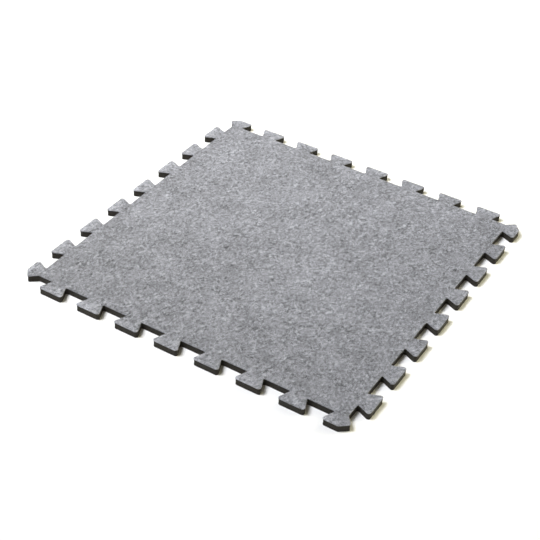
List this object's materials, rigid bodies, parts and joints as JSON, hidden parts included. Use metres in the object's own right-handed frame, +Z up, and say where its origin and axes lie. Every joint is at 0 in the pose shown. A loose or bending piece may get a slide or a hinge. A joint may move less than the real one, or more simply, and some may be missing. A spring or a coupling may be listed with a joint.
{
  "type": "interlocking blocking mat tile",
  "caption": "Square interlocking mat tile for pinning out knitting: grey needle-punched felt on a black foam base, dovetail teeth and notches along every edge.",
  "frame": {"origin": "middle of the underside, on the floor", "axes": "+Z up, out of the felt; X and Y along the tile's edges, -Y towards the front edge"},
  "size_m": [0.6342, 0.6342, 0.0127],
  "materials": {
    "felt": "needle-punched, heathered mid grey, matt, with loose fibres",
    "film": "hot-melt film, translucent grey",
    "foam": "closed-cell foam, black, matt, fine cells on the die-cut sides, embossed underside"
  },
  "bodies": {
    "root": {"felt_face": "felt", "bond_film": "film", "foam_base": "foam"}
  },
  "joints": []
}
